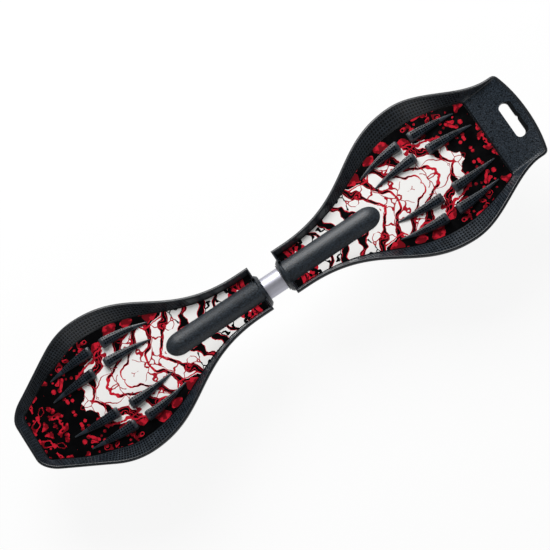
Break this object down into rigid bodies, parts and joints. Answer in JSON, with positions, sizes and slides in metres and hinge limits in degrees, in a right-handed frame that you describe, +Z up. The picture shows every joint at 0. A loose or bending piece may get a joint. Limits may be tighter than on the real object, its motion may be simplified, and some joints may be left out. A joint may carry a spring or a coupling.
{
  "type": "caster board",
  "caption": "Caster board: moulded foot decks with raised grips, joined by a torsion tube and rolling on leaning swivel casters.",
  "frame": {"origin": "on the ground, midway along and across the board", "axes": "+X towards the nose, +Y towards the rider's left as seen facing the nose, +Z up"},
  "size_m": [0.8608, 0.2314, 0.136],
  "materials": {
    "deck_plastic": "charcoal moulded plastic with a fine grain",
    "print_film": "printed film in black, red and white",
    "tube_aluminium": "satin drawn tube",
    "spring_steel": "dark oiled spring steel",
    "nylon": "dark moulded nylon",
    "steel": "zinc-plated pressed steel",
    "fasteners": "bright zinc plating",
    "tyre": "cast urethane",
    "hub": "red moulded nylon"
  },
  "bodies": {
    "front_deck": {"front_deck": "deck_plastic", "front_print": "print_film", "front_caster_plate": "steel", "front_plate_screw_1": "fasteners", "front_plate_screw_2": "fasteners", "front_plate_screw_3": "fasteners", "front_plate_screw_4": "fasteners", "front_kingpin": "fasteners", "front_kingpin_nut": "fasteners", "front_upper_race": "steel", "front_lower_race": "steel", "torsion_tube": "tube_aluminium", "torsion_bar": "spring_steel", "front_bar_socket": "steel", "front_tube_screw": "fasteners", "front_socket_screw": "fasteners"},
    "rear_deck": {"rear_deck": "deck_plastic", "rear_print": "print_film", "rear_caster_plate": "steel", "rear_plate_screw_1": "fasteners", "rear_plate_screw_2": "fasteners", "rear_plate_screw_3": "fasteners", "rear_plate_screw_4": "fasteners", "rear_kingpin": "fasteners", "rear_kingpin_nut": "fasteners", "rear_upper_race": "steel", "rear_lower_race": "steel", "rear_bar_socket": "steel", "mouth_bush": "nylon", "inner_bush": "nylon", "rear_socket_screw": "fasteners"},
    "front_fork": {"front_fork": "steel", "front_bearing_spacer": "steel", "front_left_washer": "fasteners", "front_right_washer": "fasteners", "front_axle_bolt": "fasteners", "front_axle_nut": "fasteners"},
    "front_wheel": {"front_tyre": "tyre", "front_wheel_hub": "hub", "front_left_bearing": "steel", "front_right_bearing": "steel"},
    "rear_fork": {"rear_fork": "steel", "rear_bearing_spacer": "steel", "rear_left_washer": "fasteners", "rear_right_washer": "fasteners", "rear_axle_bolt": "fasteners", "rear_axle_nut": "fasteners"},
    "rear_wheel": {"rear_tyre": "tyre", "rear_wheel_hub": "hub", "rear_left_bearing": "steel", "rear_right_bearing": "steel"}
  },
  "joints": [
    {"name": "deck_twist", "type": "hinge", "parent": "front_deck", "child": "rear_deck", "pos_m": [0.0075, 0, 0.099], "axis": [1, 0, 0], "range_deg": [-25, 25], "stiffness_Nm_per_rad": 55, "deforming": ["torsion_bar"]},
    {"name": "front_swivel", "type": "hinge", "parent": "front_deck", "child": "front_fork", "pos_m": [0.26935, 0, 0.0225], "axis": [0.5, 0, 0.866], "continuous": true},
    {"name": "front_spin", "type": "hinge", "parent": "front_fork", "child": "front_wheel", "pos_m": [0.2425, 0, 0.038], "axis": [0, 1, 0], "continuous": true},
    {"name": "rear_swivel", "type": "hinge", "parent": "rear_deck", "child": "rear_fork", "pos_m": [-0.26565, 0, 0.0225], "axis": [0.5, 0, 0.866], "continuous": true},
    {"name": "rear_spin", "type": "hinge", "parent": "rear_fork", "child": "rear_wheel", "pos_m": [-0.2925, 0, 0.038], "axis": [0, 1, 0], "continuous": true}
  ]
}
